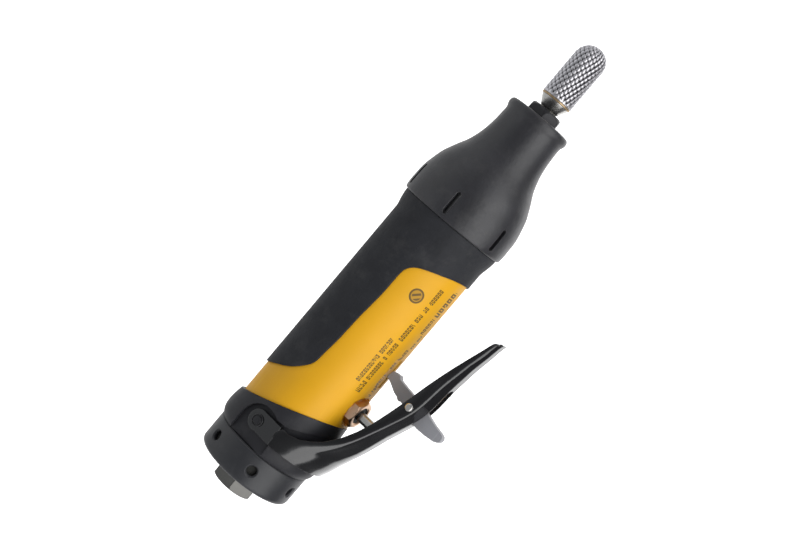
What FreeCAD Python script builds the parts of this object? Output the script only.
import FreeCAD, Part
import math
import os

# Pneumatic die grinder, lever throttle, with a ball-nose cylinder burr in the collet.
# Frame, mm: origin on the spindle axis at the mouth of the air inlet,
# +X along the spindle towards the burr, +Z towards the throttle lever, +Y to the left of it.
# Angles about the spindle are in degrees from +Z towards +Y, unless noted.

Vec = FreeCAD.Vector
os.makedirs("parts", exist_ok=True)

# ---------------------------------------------------------------- driving dimensions
CLEARANCE = 0.02       # between mating faces
# air inlet and exhaust end
X_HEX = 7.1            # front face of the inlet hexagon, whose rear face is at 0
HEX_AF = 16.2          # across flats
INLET_MINOR_R = 5.72   # G1/4 female thread, minor radius
INLET_THREAD_L = 12.0
AIR_R = 4.5            # straight air passage
X_CAP = 19.8           # front face of the exhaust cap
R_CAP = 19.9
CAP_BORE_R = 17.9
X_VENT = 13.8          # ring of six exhaust holes
R_VENT = 1.95
# backhead and housing
JOINT_X = 37.7         # slanted joint, backhead to housing: x = JOINT_X + JOINT_SLOPE * z
JOINT_SLOPE = 0.36
R_HOUSING = 19.3
R_GRIP = 20.0
R_GRIP_FLARE = 21.1
GRIP_BORE_R = 18.8
X_HOUSING_END = 127.0
R_SPIGOT = 11.0
R_MOTOR_BORE = 15.5
X_MOTOR_WALL = 64.0
PASSAGE_ANGLES = (45, 135, 225, 315)
PASSAGE_PITCH_R = 13.6
# throttle lever and its pivot
X_PIN = 29.2
PIN_R = 1.5
PIN_HEAD_R = 2.3
POCKET_Y = 18.25
FINGER_Y = (18.75, 19.9)
LEVER_T = 1.25
X_LEVER_REAR = 25.45
X_FLANGE_REAR = 33.3
X_LEVER_TIP = 106.4
TIP_CORNER_R = 2.2
# lock
X_LOCK = 68.8
Z_LOCK = 36.6
RIVET_R = 1.1
LOCK_T = 3.2
LOCK_REACH = 16.7      # from the rivet
# valve, radial at this station
X_VALVE = 52.6
STEM_R = 2.0
BALL_R = 4.0
SEAT_Z = 3.0
SEAT_R = 3.4
VALVE_HEX_AF = 10.4
VALVE_HEX_Z = 18.32
VALVE_TOP = 21.7
VALVE_PORT_Z = 7.4
VALVE_FLOOR = -13      # bottom of the valve bore
STEM_TIP_Z = 33.3
BALL_Z = SEAT_Z - math.sqrt(BALL_R ** 2 - SEAT_R ** 2) - 0.05
# motor, rear to front
X_REAR_PLATE = 64.5
X_CYLINDER = 71.5
X_FRONT_PLATE = 108.5
X_MOTOR_END = 116.0
MOTOR_R = 15.45
CYL_BORE_R = 13.0
CYL_OFFSET = 1.0       # bore centre below the spindle
PORT_ANGLE = 62        # cylinder exhaust ports, either side of -Z
X_ROTOR = (71.9, 108.1)
ROTOR_R = 11.9
VANES = 5
DOWEL_PITCH_R = 14.6
REAR_BEARING_R = 8.0
FRONT_BEARING_R = 11.0
NOSE_BEARING_R = 9.5
X_NOSE_BEARING = 165.0
# nose
X_COVER = 127.2
X_NOSE_END = 177.2
NOSE_HOUSING_R = 10.95
SLOT_PHASE = 19.65     # angle of the first vent slot
X_SLOT = (130.1, 137.5)
SLOT_R = 0.95
# tool
NUT_AF = 12.4
NUT_R = 6.95
X_NUT = (172.6, 181.0)
SHANK_R = 3.175        # 1/4 inch shank
BURR_R = 6.35          # 1/2 inch burr
X_NECK = 181.4         # start of the flared neck of the shank
X_BRAZE = 185.2
X_BURR = (185.9, 209.9)
FLUTES = 14
FLUTE_TWIST = 2.6      # degrees per mm


# ---------------------------------------------------------------- helpers
def polar(radius, angle):
    rad = math.radians(angle)
    return Vec(0, radius * math.sin(rad), radius * math.cos(rad))


def rod_x(start, end, radius, pitch_r=0, angle=0):
    """Cylinder along X, on the spindle axis or at a polar place about it."""
    base = Vec(start, 0, 0) + polar(pitch_r, angle)
    return Part.makeCylinder(radius, end - start, base, Vec(1, 0, 0))


def tube_x(start, end, outer, inner):
    return rod_x(start, end, outer).cut(rod_x(start - 1, end + 1, inner))


def rod_y(x, z, start, end, radius):
    """Cylinder parallel to Y, drawn from y = start to y = end."""
    step = end - start
    return Part.makeCylinder(radius, abs(step), Vec(x, start, z), Vec(0, step, 0))


def rod_z(x, z, radius, height, y=0):
    return Part.makeCylinder(radius, height, Vec(x, y, z))


def radial_rod(x, angle, inner, outer, radius):
    base = Vec(x, 0, 0) + polar(inner, angle)
    return Part.makeCylinder(radius, outer - inner, base, polar(1, angle))


def box(x_min, x_max, y_min, y_max, z_min, z_max):
    corner = Vec(x_min, y_min, z_min)
    return Part.makeBox(x_max - x_min, y_max - y_min, z_max - z_min, corner)


def roll(shape, angle):
    """Right-handed turn about +X, which carries +Z towards -Y."""
    return shape.rotated(Vec(0, 0, 0), Vec(1, 0, 0), angle)


def spline(points):
    curve = Part.BSplineCurve()
    curve.interpolate(points)
    return curve.toShape()


def face_of(edges):
    return Part.Face(Part.Wire(Part.__sortEdges__(edges)))


def turned(profile):
    """Solid of revolution about X. A tuple (x, radius) is a corner, a list a smooth run."""
    edges = []
    first = last = None
    for item in profile:
        run = item if isinstance(item, list) else [item]
        points = [Vec(x, 0, radius) for x, radius in run]
        if last is None:
            first = points[0]
        elif last.distanceToPoint(points[0]) > 1e-6:
            edges.append(Part.makeLine(last, points[0]))
        if len(points) > 1:
            edges.append(spline(points))
        last = points[-1]
    if last.distanceToPoint(first) > 1e-6:
        edges.append(Part.makeLine(last, first))
    return face_of(edges).revolve(Vec(0, 0, 0), Vec(1, 0, 0), 360)


def prism(points, sweep):
    return Part.Face(Part.makePolygon(points + points[:1])).extrude(sweep)


def prism_y(outline, y_min, y_max):
    """Outline of (x, z) points swept along Y."""
    return prism([Vec(x, y_min, z) for x, z in outline], Vec(0, y_max - y_min, 0))


def hex_x(start, end, flats, turn):
    corner_r = flats / math.sqrt(3)
    points = [Vec(start, 0, 0) + polar(corner_r, 60 * k + turn) for k in range(6)]
    return prism(points, Vec(end - start, 0, 0))


def fuse(*shapes):
    solid = shapes[0]
    for other in shapes[1:]:
        solid = solid.fuse(other)
    return solid.removeSplitter()


def cut(solid, tools):
    for tool in tools:
        solid = solid.cut(tool)
    return solid


def coil(radius, wire_r, length, turns):
    """Coil spring along Z from the origin."""
    helix = Part.makeHelix(length / turns, length, radius)
    section = Part.Wire([Part.makeCircle(wire_r, Vec(radius, 0, 0), Vec(0, 1, 0))])
    return Part.Wire(helix.Edges).makePipeShell([section], True, True)


def save(name, shape):
    if isinstance(shape, list):
        shape = Part.makeCompound(shape)
    shape.exportStep("parts/" + name + ".step")


# ---------------------------------------------------------------- inlet and exhaust
def inlet_bushing():
    crown = turned([(0, 0), [(0, 8.05), (0.25, 8.6), (0.8, 9.05), (1.7, 9.27)],
                    (X_HEX, 9.27), (X_HEX, 0)])
    hexagon = hex_x(0, X_HEX, HEX_AF, 7).common(crown)
    body = fuse(hexagon, rod_x(X_HEX, 9.7, 9.0), rod_x(9.0, 32.0, 7.9))
    return cut(body, [rod_x(-1, INLET_THREAD_L, INLET_MINOR_R), rod_x(0, 14.2, 5.05),
                      rod_x(10, 33, AIR_R),
                      tube_x(9.72, 10.9, 9.2, 7.2)])  # O-ring groove


def inlet_screen():
    pitch, row_pitch, hole_r, field_r = 1.15, 1.0, 0.42, 4.2
    holes = []
    for i in range(-4, 5):
        for j in range(-4, 5):
            y = pitch * i + pitch / 2 * (j % 2)
            z = row_pitch * j
            if math.hypot(y, z) < field_r:
                holes.append(rod_x(12, 14.3, hole_r).translated(Vec(0, y, z)))
    return cut(rod_x(12.3, 14.1, 5.0), holes)


def inlet_o_ring():
    return Part.makeTorus(7.75, 0.5, Vec(10.35, 0, 0), Vec(1, 0, 0))


def exhaust_cap():
    rear = X_HEX + CLEARANCE
    cap = turned([(rear, 9.05),
                  [(rear, 18.45), (7.25, 19.0), (7.65, 19.45), (8.2, 19.75), (9.1, R_CAP)],
                  (19.3, R_CAP), (X_CAP, R_CAP - 0.4), (X_CAP, CAP_BORE_R),
                  (9.7, CAP_BORE_R), (9.7, 9.05)])
    angles = [60 * k for k in range(6)]
    cap = cut(cap, [radial_rod(X_VENT, angle, 15, 22, R_VENT) for angle in angles])
    # shallow countersink around each exhaust hole
    for angle in angles:
        base = Vec(X_VENT, 0, 0) + polar(19.3, angle)
        cap = cap.cut(Part.makeCone(R_VENT, R_VENT + 0.7, 0.7, base, polar(1, angle)))
    return cap


def muffler_ring():
    return tube_x(9.8, 19.3, CAP_BORE_R - 0.1, 12.2)


# ---------------------------------------------------------------- backhead
# (x, z) of the lever saddle's seat
SADDLE_SEAT = [(25.35, 8.3), (33.7, 8.3), (34.6, 10.8), (36.4, 14.6), (39.3, 18.9),
               (43.2, 22.2), (48, 24.6), (60, 24.6), (60, 32), (25.35, 32)]


def beyond_joint(x_far):
    """Block from the slanted joint out to x_far, on either side of it."""
    return prism_y([(JOINT_X - JOINT_SLOPE * 40, -40), (JOINT_X + JOINT_SLOPE * 40, 40),
                    (x_far, 40), (x_far, -40)], -30, 30)


def backhead():
    back = turned([(X_CAP, 0),
                   [(X_CAP, 19.7), (20.9, 20.5), (22.8, 21.2), (25.3, 21.35), (27.6, 21.2),
                    (30, 20.8), (35, 20.25), (39.6, 19.85), (47, 19.4)],
                   (47, 0)])
    back = back.cut(beyond_joint(120))
    back = back.cut(prism_y(SADDLE_SEAT, -30, 30).cut(rod_x(20, 70, 19.85)))
    # pockets for the two lever fingers
    for side in (1, -1):
        y_min, y_max = (POCKET_Y, 30) if side > 0 else (-30, -POCKET_Y)
        back = back.cut(fuse(box(X_CAP - 1, 27.2, y_min, y_max, -7.3, 9.3),
                             rod_y(27.2, 1.0, y_min, y_max, 8.3),
                             box(27.0, 34.2, y_min, y_max, 2.5, 9.3)))
        back = back.cut(rod_y(X_PIN, 0, side * 11.5, side * 21.5, PIN_R))
    back = back.cut(rod_x(10, 60, R_SPIGOT + CLEARANCE))
    back = cut(back, [rod_x(10, 60, 2.1, PASSAGE_PITCH_R, angle) for angle in PASSAGE_ANGLES])
    # clearance to the rim of the exhaust cap
    return back.cut(tube_x(X_CAP - 1, X_CAP + CLEARANCE, 22, 17.8))


def lever_pivot_pins():
    pins = []
    for side in (1, -1):
        pin = fuse(rod_y(X_PIN, 0, side * 11.6, side * 20.2, PIN_R),
                   rod_y(X_PIN, 0, side * 20.05, side * 20.6, PIN_HEAD_R))
        pins.append(pin.cut(rod_y(X_PIN, 0, side * 20.3, side * 21.3, 1.0)))
    return pins


# ---------------------------------------------------------------- grip sleeve
# (x, z) of the sleeve's cut edge, seen from the side
GRIP_EDGE = [
    (43.9, -19.9), (44.9, -17.2), (45.9, -14.8), (48.3, -9.8), (51.2, -4.6), (54.85, -0.5),
    (58.6, 2.0), (63, 2.6), (68.6, 3.2), (76, 3.6), (83.6, 4.0), (90.6, 4.6), (97, 4.85),
    (102.2, 4.9), (105.0, 5.35), (107.6, 7.2), (109.6, 10.6), (111.2, 14.4), (112.6, 17.5),
    (113.6, 20.0)]


def grip_sleeve():
    shell = turned([(40, GRIP_BORE_R), (40, R_GRIP),
                    [(118.5, R_GRIP), (120.5, 20.12), (123.2, 20.7), (125.2, 21.0),
                     (127.15, R_GRIP_FLARE)],
                    (127.15, GRIP_BORE_R)])
    # everything above and behind the cut edge
    around = [GRIP_EDGE[-1], (113.6, 32), (30, 32), (30, -32), (43.9, -32), GRIP_EDGE[0]]
    corners = [Vec(x, -30, z) for x, z in around]
    edges = [spline([Vec(x, -30, z) for x, z in GRIP_EDGE])]
    edges += [Part.makeLine(start, end) for start, end in zip(corners, corners[1:])]
    return shell.cut(face_of(edges).extrude(Vec(0, 60, 0)))


# ---------------------------------------------------------------- motor housing
def motor_housing():
    body = rod_x(20, X_HOUSING_END, R_HOUSING).cut(beyond_joint(-30))
    body = fuse(body, rod_x(20.6, 60, R_SPIGOT))
    body = cut(body, [
        rod_x(X_MOTOR_WALL, 130, R_MOTOR_BORE), rod_x(X_MOTOR_END, 130, 17.0),
        rod_x(10, 33, 7.95), rod_x(30, X_VALVE, AIR_R), rod_x(61.9, X_MOTOR_WALL + 1, 4.9),
        # spot face, bore and forward port of the valve
        rod_z(X_VALVE, 18.3, 6.7, 5), rod_z(X_VALVE, VALVE_FLOOR, 5.45, 32),
        Part.makeCylinder(2.3, 20, Vec(X_VALVE, 0, VALVE_PORT_Z), Vec(1, 0, 0))])
    # exhaust passages back to the cap
    body = cut(body, [rod_x(20, 70, 2.0, PASSAGE_PITCH_R, angle) for angle in PASSAGE_ANGLES])
    # shallow flat under the lock
    body = body.cut(box(64.5, 77.5, -2.6, 2.6, 18.85, 25))
    return body.cut(grip_sleeve())


def housing_o_ring():
    return Part.makeTorus(16.35, 0.6, Vec(116.65, 0, 0), Vec(1, 0, 0))


# ---------------------------------------------------------------- throttle valve
def valve_rod(z, radius, height):
    return rod_z(X_VALVE, z, radius, height)


def valve_bushing():
    corner_r = VALVE_HEX_AF / math.sqrt(3)
    turns = [math.radians(60 * k) for k in range(6)]
    hexagon = prism([Vec(X_VALVE + corner_r * math.cos(turn), corner_r * math.sin(turn),
                         VALVE_HEX_Z) for turn in turns], Vec(0, 0, VALVE_TOP - VALVE_HEX_Z))
    chamfer = Part.makeCone(6.3, 4.9, 1.5, Vec(X_VALVE, 0, VALVE_TOP - 1.2), Vec(0, 0, 1))
    hexagon = hexagon.common(chamfer.fuse(valve_rod(VALVE_TOP - 6.1, 6.3, 5)))
    bushing = fuse(valve_rod(SEAT_Z, 5.4, 18.6 - SEAT_Z), hexagon)
    port_x = Part.makeCylinder(2.0, 18, Vec(X_VALVE - 9, 0, VALVE_PORT_Z), Vec(1, 0, 0))
    seal_groove = valve_rod(4.0, 5.5, 1.35).cut(valve_rod(4.0, 4.5, 1.35))
    return cut(bushing, [valve_rod(SEAT_Z - 0.5, SEAT_R, 10.0),
                         valve_rod(5, STEM_R + 0.05, 30),
                         port_x, rod_y(X_VALVE, VALVE_PORT_Z, -9, 9, 2.0),
                         seal_groove,
                         valve_rod(VALVE_TOP - 1.7, 3.6, 1.7),
                         valve_rod(VALVE_TOP - 0.3, 4.0, 1.0)])


def valve_body_seal():
    return Part.makeTorus(4.93, 0.42, Vec(X_VALVE, 0, 4.68), Vec(0, 0, 1))


def valve_stem_seal():
    seal = valve_rod(VALVE_TOP - 1.68, 3.55, 1.2)
    return seal.cut(valve_rod(VALVE_TOP - 2, STEM_R + 0.06, 3))


def valve_ball():
    return Part.makeSphere(BALL_R, Vec(X_VALVE, 0, BALL_Z))


def valve_stem():
    bottom = BALL_Z + BALL_R + CLEARANCE
    tip_centre = STEM_TIP_Z - STEM_R
    return fuse(valve_rod(bottom, STEM_R, tip_centre - bottom),
                Part.makeSphere(STEM_R, Vec(X_VALVE, 0, tip_centre)))


def valve_spring():
    radius, wire_r = 2.6, 0.4
    bottom = VALVE_FLOOR + wire_r + 0.03
    top = BALL_Z - math.sqrt(BALL_R ** 2 - radius ** 2) - wire_r - 0.12
    spring = coil(radius, wire_r, top - bottom, 5.5)
    spring.translate(Vec(X_VALVE, 0, bottom))
    return spring


# ---------------------------------------------------------------- throttle lever
ARC_STEPS = 17         # both kinds of half section have ARC_STEPS + 1 points
# Stations of the lever: (x, z of the apex), (x, half width of the flat back),
# (x, half width at the lower edge), (x, z of the lower edge)
APEX = [(25.45, 23.9), (28.5, 25.3), (31.5, 26.5), (34.5, 27.75), (38, 29.35), (42, 31.05),
        (47, 32.85), (52.6, 34.8), (58, 36.95), (61.5, 38.35), (64.5, 39.55), (68, 40.68),
        (73, 41.6), (79, 42.0), (85, 42.5), (91, 43.25), (97, 44.28), (102, 45.2), (107, 46.3)]
BACK = [(25.45, 2.4), (79, 2.4), (91, 2.3), (97, 2.15), (102, 2.0), (107, 1.8)]
WIDE = [(25.45, 19.9), (31.5, 19.9), (34.5, 18.6), (38, 15.6), (42, 12.9), (47, 10.8),
        (52.6, 9.5), (58, 8.95), (64.5, 8.7), (73, 8.4), (79, 7.9), (85, 7.15), (91, 6.3),
        (97, 5.5), (102, 4.9), (107, 4.5)]
LOW = [(25.45, 8.5), (31.5, 8.5), (34.5, 11.2), (38, 16.6), (42, 21.4), (47, 25.0),
       (52.6, 28.0), (58, 30.0), (64.5, 31.6), (73, 33.6), (79, 35.0), (85, 36.5), (91, 38.3),
       (97, 40.2), (102, 42.0), (107, 43.3)]
SECTION_X = (25.45, 28.5, 31.5, 34.5, 37.0, 39.5, 42, 45, 48, 52, 56, 60, 64, 68, 73, 79, 85,
             91, 97, 102, 107)
# (x, z) of the side flanges' lower edge, closed well below it
FLANGE_EDGE = [
    (X_FLANGE_REAR, -30), (X_FLANGE_REAR, 12.6), (34.3, 15.9), (35.9, 18.6), (39, 22.2),
    (43.9, 25.5), (49.5, 28.1), (55.4, 30.25), (62, 32.15), (67.9, 33.75), (72.8, 34.95),
    (79, 36.3), (85, 37.75), (91, 39.35), (97, 41.15), (101, 42.4), (103.4, 43.1),
    (104.9, 43.45), (105.8, 43.9), (106.3, 44.6), (108, 46.5), (108, -30)]


def blend(start, end, t):
    return tuple(u * (1 - t) + v * t for u, v in zip(start, end))


def bezier(start, handle, end, t):
    return tuple(u * (1 - t) ** 2 + 2 * v * t * (1 - t) + w * t * t
                 for u, v, w in zip(start, handle, end))


def saddle_half(width, edge_z, top_z):
    """Arc of (y, z) from the edge to the apex, following the round backhead."""
    centre = (top_z * top_z - width * width - edge_z * edge_z) / (2 * (top_z - edge_z))
    radius = top_z - centre
    spread = math.atan2(width, edge_z - centre)
    angles = [spread * (1 - i / ARC_STEPS) for i in range(ARC_STEPS + 1)]
    return [(radius * math.sin(turn), centre + radius * math.cos(turn)) for turn in angles]


def channel_half(width, edge_z, top_z, back_y):
    """Folded channel in (y, z): flank, fold, sloping shoulder, flat back."""
    fold_y = width - 0.8
    fold_z = top_z - (fold_y - back_y) * math.tan(math.radians(20))
    fold = (fold_y, fold_z)
    handle = (width + 0.05, edge_z + 0.6 * (fold_z - edge_z))
    points = [bezier((width, edge_z), handle, fold, t) for t in (0.0, 0.22, 0.44, 0.64, 0.80)]
    flank_end = points[-1]
    length = math.hypot(fold_y - back_y, top_z - fold_z)
    slope_y, slope_z = (back_y - fold_y) / length, (top_z - fold_z) / length
    shoulder = (fold_y + 0.75 * slope_y, fold_z + 0.75 * slope_z)
    points += [bezier(flank_end, fold, shoulder, t) for t in (0.25, 0.5, 0.75, 1.0)]
    shoulder_end = (back_y - 0.55 * slope_y, top_z - 0.55 * slope_z)
    points += [blend(shoulder, shoulder_end, t) for t in (0.33, 0.66, 1.0)]
    flat = (back_y - 0.55, top_z)
    points += [bezier(shoulder_end, (back_y, top_z), flat, t) for t in (0.33, 0.66, 1.0)]
    return points + [blend(flat, (0.0, top_z), t) for t in (0.35, 0.7, 1.0)]


def smooth(table, x):
    """Monotone cubic through the table, so the stamping has no kinks."""
    spans = list(zip(table, table[1:]))
    slopes = [(end[1] - start[1]) / (end[0] - start[0]) for start, end in spans]
    tangents = [slopes[0]]
    for before, after in zip(slopes, slopes[1:]):
        product = before * after
        tangents.append(0.0 if product <= 0 else 2 * product / (before + after))
    tangents.append(slopes[-1])
    i = next((k for k, span in enumerate(spans) if x <= span[1][0]), len(spans) - 1)
    (x_start, start), (x_end, end) = spans[i]
    step = x_end - x_start
    t = (x - x_start) / step
    return (start * (1 + 2 * t) * (1 - t) ** 2 + end * t * t * (3 - 2 * t)
            + step * tangents[i] * t * (1 - t) ** 2
            - step * tangents[i + 1] * t * t * (1 - t))


def lever_half(x):
    """Half section at x, passing from saddle to channel."""
    top_z, width, edge_z = smooth(APEX, x), smooth(WIDE, x), smooth(LOW, x)
    share = min(1.0, max(0.0, (x - 31.0) / 17.0))
    share = share * share * (3 - 2 * share)
    saddle = saddle_half(width, edge_z, top_z)
    channel = channel_half(width, edge_z, top_z, smooth(BACK, x))
    return [blend(u, v, share) for u, v in zip(saddle, channel)]


def mirrored(half):
    return half + [(-y, z) for y, z in half[-2::-1]]


def lever_section(x):
    """Closed sheet section: outer arch, then the same arch one thickness inside."""
    outer = mirrored(lever_half(x))
    inner = []
    for i, (y, z) in enumerate(outer):
        before = outer[max(i - 1, 0)]
        after = outer[min(i + 1, len(outer) - 1)]
        along_y, along_z = after[0] - before[0], after[1] - before[1]
        length = math.hypot(along_y, along_z)
        inner.append((y - LEVER_T * along_z / length, z + LEVER_T * along_y / length))
    outer = [Vec(x, y, z) for y, z in outer]
    inner = [Vec(x, y, z) for y, z in inner]
    return Part.Wire([spline(outer), Part.makeLine(outer[-1], inner[-1]),
                      spline(inner), Part.makeLine(inner[0], outer[0])])


def lever_end_wall(below_flanges):
    ends = []
    for x in (104.0, 105.5, 107.0):
        points = mirrored([(max(0.0, y - 0.6), z - 0.6) for y, z in lever_half(x)])
        # drop points that fell together on the centre plane
        kept = points[:1] + [point for before, point in zip(points, points[1:])
                             if math.dist(before, point) > 1e-6]
        ends.append(Part.makePolygon([Vec(x, y, z) for y, z in kept + kept[:1]]))
    slab = box(X_LEVER_TIP - LEVER_T, X_LEVER_TIP, -10, 10, 30, 60)
    return Part.makeLoft(ends, True, True).common(slab).cut(below_flanges)


def throttle_lever():
    lever = Part.makeLoft([lever_section(x) for x in SECTION_X], True, False)
    below_flanges = prism_y(FLANGE_EDGE, -30, 30)
    lever = lever.cut(below_flanges)
    fingers = []
    for y_min, y_max in (FINGER_Y, (-FINGER_Y[1], -FINGER_Y[0])):
        bar = box(X_LEVER_REAR, X_FLANGE_REAR, y_min, y_max, 0, 8.9)
        fingers.append(bar.fuse(rod_y(X_PIN + 0.1, 0, y_min, y_max, 4.05)))
    lever = fuse(lever, *fingers)
    for side in (1, -1):
        lever = lever.cut(rod_y(X_PIN, 0, side * 17, side * 22, PIN_R + 0.05))
    # slot the lock folds into
    slot_end, slot_r = 80.4, 2.1
    slot = box(63.7, slot_end, -slot_r, slot_r, 36.5, 50)
    lever = lever.cut(slot.fuse(rod_z(slot_end, 36.5, slot_r, 14)))
    lever = lever.fuse(lever_end_wall(below_flanges))
    # rounded corners of the tip
    x_corner, y_corner = X_LEVER_TIP - TIP_CORNER_R, 2.15
    for side in (1, -1):
        corner = cut(box(x_corner, 110, 0, 10, 36, 52),
                     [rod_z(x_corner, 35, TIP_CORNER_R, 20, y_corner),
                      box(90, 110, -1, y_corner, 35, 55)])
        if side < 0:
            corner = corner.mirror(Vec(0, 0, 0), Vec(0, 1, 0))
        lever = lever.cut(corner)
    return lever.cut(lock_rivet())


# ---------------------------------------------------------------- lock
# (x, z) of the lock lever, folded down
LOCK_OUTLINE = [
    (70.15, 20.4), (69.45, 22.6), (67.75, 26.0), (67.3, 28.0), (66.75, 28.6), (66.6, 29.5),
    (67.0, 30.0), (66.5, 33.0), (66.0, 35.0), (64.3, 39.0), (63.9, 41.2), (64.1, 45.2),
    (64.7, 49.3), (65.3, 50.6), (66.3, 51.3), (67.5, 51.3), (68.4, 50.6), (68.8, 49.3),
    (69.4, 45.5), (70.4, 41.6), (71.3, 38.0), (71.8, 33.0), (72.3, 28.0), (72.8, 24.6),
    (73.85, 23.6), (73.5, 21.0), (72.4, 19.2), (70.6, 19.0)]


def lock_rivet():
    head_r, head_y = 1.5, 8.9
    rivet = rod_y(X_LOCK, Z_LOCK, -8.8, 8.8, RIVET_R)
    for side in (1, -1):
        rivet = rivet.fuse(rod_y(X_LOCK, Z_LOCK, side * 7.9, side * head_y, head_r))
        rivet = rivet.fuse(Part.makeCone(head_r, 1.0, 0.35, Vec(X_LOCK, side * head_y, Z_LOCK),
                                         Vec(0, side, 0)))
    return rivet.removeSplitter()


def lock_spring():
    """Torsion spring wound on the rivet."""
    spring = coil(1.5, 0.28, 2.25, 3)
    spring.rotate(Vec(0, 0, 0), Vec(1, 0, 0), -90)
    spring.translate(Vec(X_LOCK, 2.0, Z_LOCK))
    return spring


def lock_lever():
    lock = prism_y(LOCK_OUTLINE, -LOCK_T / 2, LOCK_T / 2)
    lock = lock.common(rod_y(X_LOCK, Z_LOCK, -5, 5, LOCK_REACH))
    return lock.cut(rod_y(X_LOCK, Z_LOCK, -5, 5, RIVET_R + 0.05))


# ---------------------------------------------------------------- air motor
def dowel_rods(start, end, radius):
    return [rod_x(start, end, radius, DOWEL_PITCH_R, angle) for angle in (90, 270)]


def dowel_holes():
    return dowel_rods(66.5, 111.8, 0.78)


def cylinder_dowels():
    return dowel_rods(66.6, 111.7, 0.75)


def rear_end_plate():
    tools = [rod_x(X_REAR_PLATE - 1, X_REAR_PLATE + 5.1, REAR_BEARING_R + CLEARANCE),
             rod_x(X_REAR_PLATE, X_CYLINDER + 1, 5.2)]
    tools += [rod_x(60, 75, 1.6, 13.9, angle) for angle in PASSAGE_ANGLES]
    # feed ports
    tools += [rod_x(60, 75, 1.3, 10.3, angle) for angle in (-14, 0, 14)]
    return cut(rod_x(X_REAR_PLATE, X_CYLINDER, MOTOR_R), tools + dowel_holes())


def front_end_plate():
    tools = [rod_x(X_FRONT_PLATE + 1.4, X_MOTOR_END + 1, FRONT_BEARING_R + CLEARANCE),
             rod_x(X_FRONT_PLATE - 1, X_MOTOR_END, 6.1)]
    return cut(rod_x(X_FRONT_PLATE, X_MOTOR_END, MOTOR_R), tools + dowel_holes())


def motor_cylinder():
    bore = rod_x(X_CYLINDER - 1, X_FRONT_PLATE + 1, CYL_BORE_R)
    tools = [bore.translated(Vec(0, 0, -CYL_OFFSET))]
    # exhaust ports and the two channels that carry the air back
    for angle in (180 - PORT_ANGLE, 180 + PORT_ANGLE):
        tools += [radial_rod(x, angle, 10, 17, 1.4) for x in (78, 84, 90, 96, 102)]
        tools.append(roll(box(X_CYLINDER - 1, 104, -1.8, 1.8, 14.6, 17), -angle))
    return cut(rod_x(X_CYLINDER, X_FRONT_PLATE, MOTOR_R), tools + dowel_holes())


def save_bearing(tag, start, width, bore_r, outer_r, ball_r, count):
    end = start + width
    pitch_r = (bore_r + outer_r) / 2
    middle = (start + end) / 2
    groove = Part.makeTorus(pitch_r, ball_r + CLEARANCE, Vec(middle, 0, 0), Vec(1, 0, 0))
    outer = tube_x(start, end, outer_r, pitch_r + 0.55 * ball_r).cut(groove)
    inner = tube_x(start, end, pitch_r - 0.55 * ball_r, bore_r).cut(groove)
    balls = []
    cage = tube_x(middle - ball_r - 0.45, middle + ball_r + 0.45,
                  pitch_r + 0.3 * ball_r, pitch_r - 0.3 * ball_r)
    for k in range(count):
        angle = 360 * k / count
        balls.append(Part.makeSphere(ball_r, Vec(middle, 0, 0) + polar(pitch_r, angle)))
        cage = cage.cut(radial_rod(middle, angle, pitch_r - ball_r, pitch_r + ball_r,
                                   ball_r + 0.06))
    save(tag + "_bearing_outer_race", outer)
    save(tag + "_bearing_inner_race", inner)
    save(tag + "_bearing_cage", cage)
    save(tag + "_bearing_balls", balls)


def rotor_spindle():
    """Rotor and spindle in one piece, bored at the front for the shank and collet."""
    rear, front = X_ROTOR
    spindle = turned([
        (62.2, 0), (62.2, 3.6), (62.6, 3.95), (70.6, 3.95), (70.6, 4.9), (rear, 4.9),
        (rear, ROTOR_R), (front, ROTOR_R), (front, 5.6), (109.9, 5.6), (109.9, 4.95),
        (117.6, 4.95), (117.6, 6.4), (120.5, 6.4), (121.5, 5.6), (163.4, 5.6), (163.4, 5.8),
        (164.95, 5.8), (164.95, 4.95), (172.0, 4.95), (172.0, 4.5), (177.0, 4.5),
        (177.0, 4.15), (167.0, 3.3), (152.0, 3.3), (150.5, 0)])
    spindle = spindle.cut(tube_x(63.0, 63.7, 4.5, 3.6))  # circlip groove
    for k in range(VANES):
        slot = roll(box(71.0, 109.0, -0.8, 0.8, 6.2, 13), 360 * k / VANES)
        spindle = spindle.cut(slot.common(rod_x(rear, front, 14)))
    return spindle


def rotor_vanes():
    blade = box(X_ROTOR[0] + 0.05, X_ROTOR[1] - 0.05, -0.76, 0.76, 6.3, 12.5)
    blade = blade.common(rod_x(70, 110, ROTOR_R - CLEARANCE))
    return [roll(blade, 360 * k / VANES) for k in range(VANES)]


def spindle_circlip():
    return tube_x(63.02, 63.68, 4.6, 3.65).cut(box(62, 65, -1.2, 1.2, 0, 8))


def front_spacer():
    return tube_x(X_MOTOR_END, 117.55, 7.2, 5.0)


# ---------------------------------------------------------------- nose
def nose_housing():
    shoulder = X_HOUSING_END + 0.1
    seat_r = NOSE_BEARING_R + CLEARANCE
    nose = turned([
        (117.3, 15.6), (117.3, 16.9), (shoulder, 16.9), (shoulder, 18.75), (X_COVER, 18.75),
        (X_COVER, 19.2),
        [(140, 19.2), (144, 18.2), (149, 15.8), (154, 13.0), (158, 11.7),
         (162, NOSE_HOUSING_R)],
        (175.4, NOSE_HOUSING_R), (175.4, 9.9), (172.85, 9.9), (172.85, seat_r),
        (164.95, seat_r), (164.95, 8.6), (162, 8.6), (150, 9.0), (141, 13.5), (118.6, 13.5),
        (118.6, 10.9), (116.05, 10.9), (116.05, 15.6)])
    return nose.cut(tube_x(129.0, 138.4, 22, 17.8))


def wave_washer():
    """Preload washer behind the dust seal."""
    return tube_x(171.0, 171.45, 9.3, 7.0)


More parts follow.
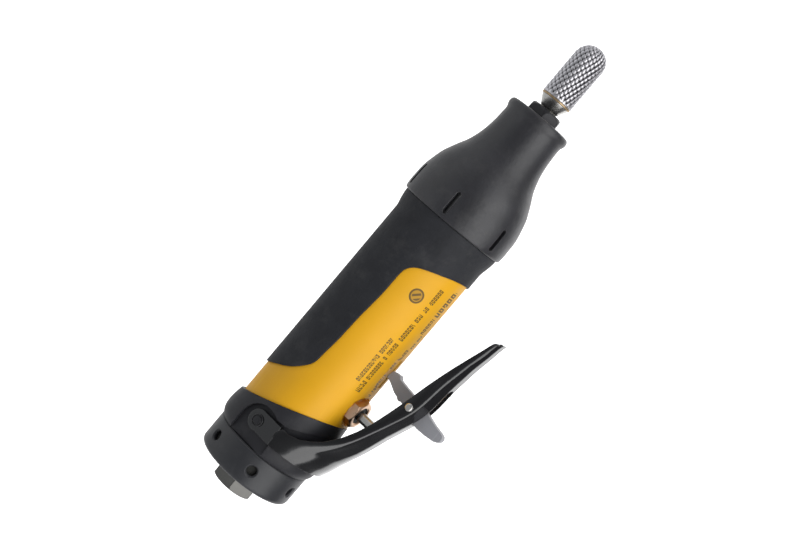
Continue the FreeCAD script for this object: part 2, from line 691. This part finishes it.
def front_dust_seal():
    return turned([(171.6, 6.95), (171.6, 9.4), (172.9, 9.4), (172.9, 9.85), (175.35, 9.85),
                   (175.35, 8.2), (173.4, 6.95)])


def nose_cover():
    bore_r = NOSE_HOUSING_R + CLEARANCE
    cover = turned([
        (X_COVER, 19.25),
        [(X_COVER, 21.3), (127.45, 21.85), (128.2, 22.1), (133.0, 22.2), (137.1, 22.02),
         (140, 21.5), (142.9, 20.8), (145.8, 19.95), (148.7, 18.67), (151.6, 17.22),
         (154.5, 15.7), (157.4, 14.58), (160.3, 13.72), (163.2, 13.15), (166.1, 12.79),
         (169, 12.58), (172.4, 12.46), (173.3, 12.58), (174.2, 12.98), (175.5, 13.15),
         (176.6, 12.85), (X_NOSE_END, 11.9)],
        (X_NOSE_END, 10.2), (176.6, 9.3), (175.45, 9.1), (175.45, bore_r),
        [(162, bore_r), (158, 11.75), (154, 13.05), (149, 15.85), (144, 18.25),
         (140, 19.25)]])
    rear, front = X_SLOT
    for k in range(6):
        slot = box(rear, front, -SLOT_R, SLOT_R, 18, 25)
        slot = slot.fuse(rod_z(rear, 18, SLOT_R, 7)).fuse(rod_z(front, 18, SLOT_R, 7))
        cover = cover.cut(roll(slot, -(SLOT_PHASE + 60 * k)))
    return cover


# ---------------------------------------------------------------- collet and burr
def collet_nut():
    rear, front = X_NUT
    crown = turned([(rear, 0),
                    [(rear, NUT_R), (178.9, NUT_R), (179.6, 6.75), (180.4, 6.3), (front, 5.6)],
                    (front, 0)])
    bore = turned([(rear - 1, 0), (rear - 1, 4.55), (177.3, 4.55), (177.3, 4.35),
                   (178.2, 4.35), (180.2, 3.6), (front + 1, 3.6), (front + 1, 0)])
    return hex_x(rear, front, NUT_AF, 10).common(crown).cut(bore)


def collet():
    body = turned([(168.2, 3.2), (168.2, 3.36), (177.0, 4.1), (177.15, 4.3), (178.15, 4.3),
                   (180.1, 3.55), (180.9, 3.5), (180.9, 3.2)])
    slit = box(170, 182, -0.35, 0.35, 0, 6)
    return cut(body, [roll(slit, 120 * k + 20) for k in range(3)])


def burr_shank():
    return turned([(153.0, 0), (153.0, 3.0), (153.3, SHANK_R),
                   [(X_NECK - 0.2, SHANK_R), (X_NECK + 0.2, 3.75), (182.4, 4.28),
                    (184.0, 5.2), (X_BRAZE, 5.88)],
                   (X_BRAZE, 0)])


def burr_braze_ring():
    return turned([(X_BRAZE, 0),
                   [(X_BRAZE, 5.9), (185.35, 6.08), (185.6, 6.18), (X_BURR[0], 6.2)],
                   (X_BURR[0], 0)])


def burr_head():
    rear, tip = X_BURR
    nose_x = tip - BURR_R
    nose = []
    for angle in range(0, 91, 10):
        rad = math.radians(angle)
        nose.append((nose_x + BURR_R * math.sin(rad), BURR_R * math.cos(rad)))
    burr = turned([(rear, 0), (rear, 6.1), (rear + 0.25, BURR_R), nose])
    # spiral flutes of triangular section, turning from +Z towards +Y as they run forward
    groove = [(-0.55, 7.2), (0.55, 7.2), (0.0, 5.75), (-0.55, 7.2)]
    for k in range(FLUTES):
        sections = []
        for i in range(4):
            along = i * 6.4
            turn = 360 * k / FLUTES + along * FLUTE_TWIST
            sections.append(Part.makePolygon([
                Vec(184.9 + along, 0, 0) + polar(z, turn) + polar(y, turn + 90)
                for y, z in groove]))
        burr = burr.cut(Part.makeLoft(sections, True, True))
    return burr


# ---------------------------------------------------------------- write the pieces
PIECES = [
    inlet_bushing, inlet_screen, inlet_o_ring, exhaust_cap, muffler_ring, backhead,
    lever_pivot_pins, grip_sleeve, motor_housing, housing_o_ring, valve_bushing,
    valve_body_seal, valve_stem_seal, valve_ball, valve_stem, valve_spring, throttle_lever,
    lock_rivet, lock_spring, lock_lever, rear_end_plate, front_end_plate, motor_cylinder,
    cylinder_dowels, rotor_spindle, rotor_vanes, spindle_circlip, front_spacer, nose_housing,
    wave_washer, front_dust_seal, nose_cover, collet_nut, collet, burr_shank,
    burr_braze_ring, burr_head]
for piece in PIECES:
    save(piece.__name__, piece())

save_bearing("rear", start=X_REAR_PLATE + 0.05, width=5, bore_r=4.0,
             outer_r=REAR_BEARING_R, ball_r=1.3, count=8)
save_bearing("front", start=109.95, width=6, bore_r=5.0,
             outer_r=FRONT_BEARING_R, ball_r=1.9, count=8)
save_bearing("nose", start=X_NOSE_BEARING, width=5, bore_r=5.0,
             outer_r=NOSE_BEARING_R, ball_r=1.45, count=9)
